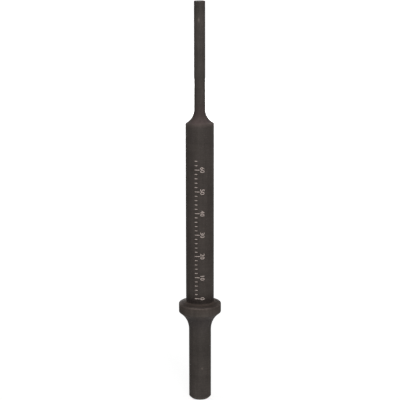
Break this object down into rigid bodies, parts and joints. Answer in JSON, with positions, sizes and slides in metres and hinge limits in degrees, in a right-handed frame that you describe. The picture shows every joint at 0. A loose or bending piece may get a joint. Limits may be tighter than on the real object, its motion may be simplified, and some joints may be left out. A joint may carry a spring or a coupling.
{
  "type": "pin punch",
  "caption": "Pin punch bit for an air hammer: straight pin, long body, retaining collar and plain shank in dark phosphated steel.",
  "frame": {"origin": "on the tool's axis, where the straight shank ends and the flare under the collar begins", "axes": "+Z along the tool's axis, from the shank towards the pin's tip"},
  "size_m": [0.0194, 0.0194, 0.1844],
  "materials": {
    "phosphated_steel": "manganese-phosphated tool steel, lightly oiled: dark brownish grey, satin"
  },
  "bodies": {
    "root": {"shank": "phosphated_steel", "shank_taper": "phosphated_steel", "collar": "phosphated_steel", "body": "phosphated_steel", "nose": "phosphated_steel", "pin": "phosphated_steel"}
  },
  "joints": []
}
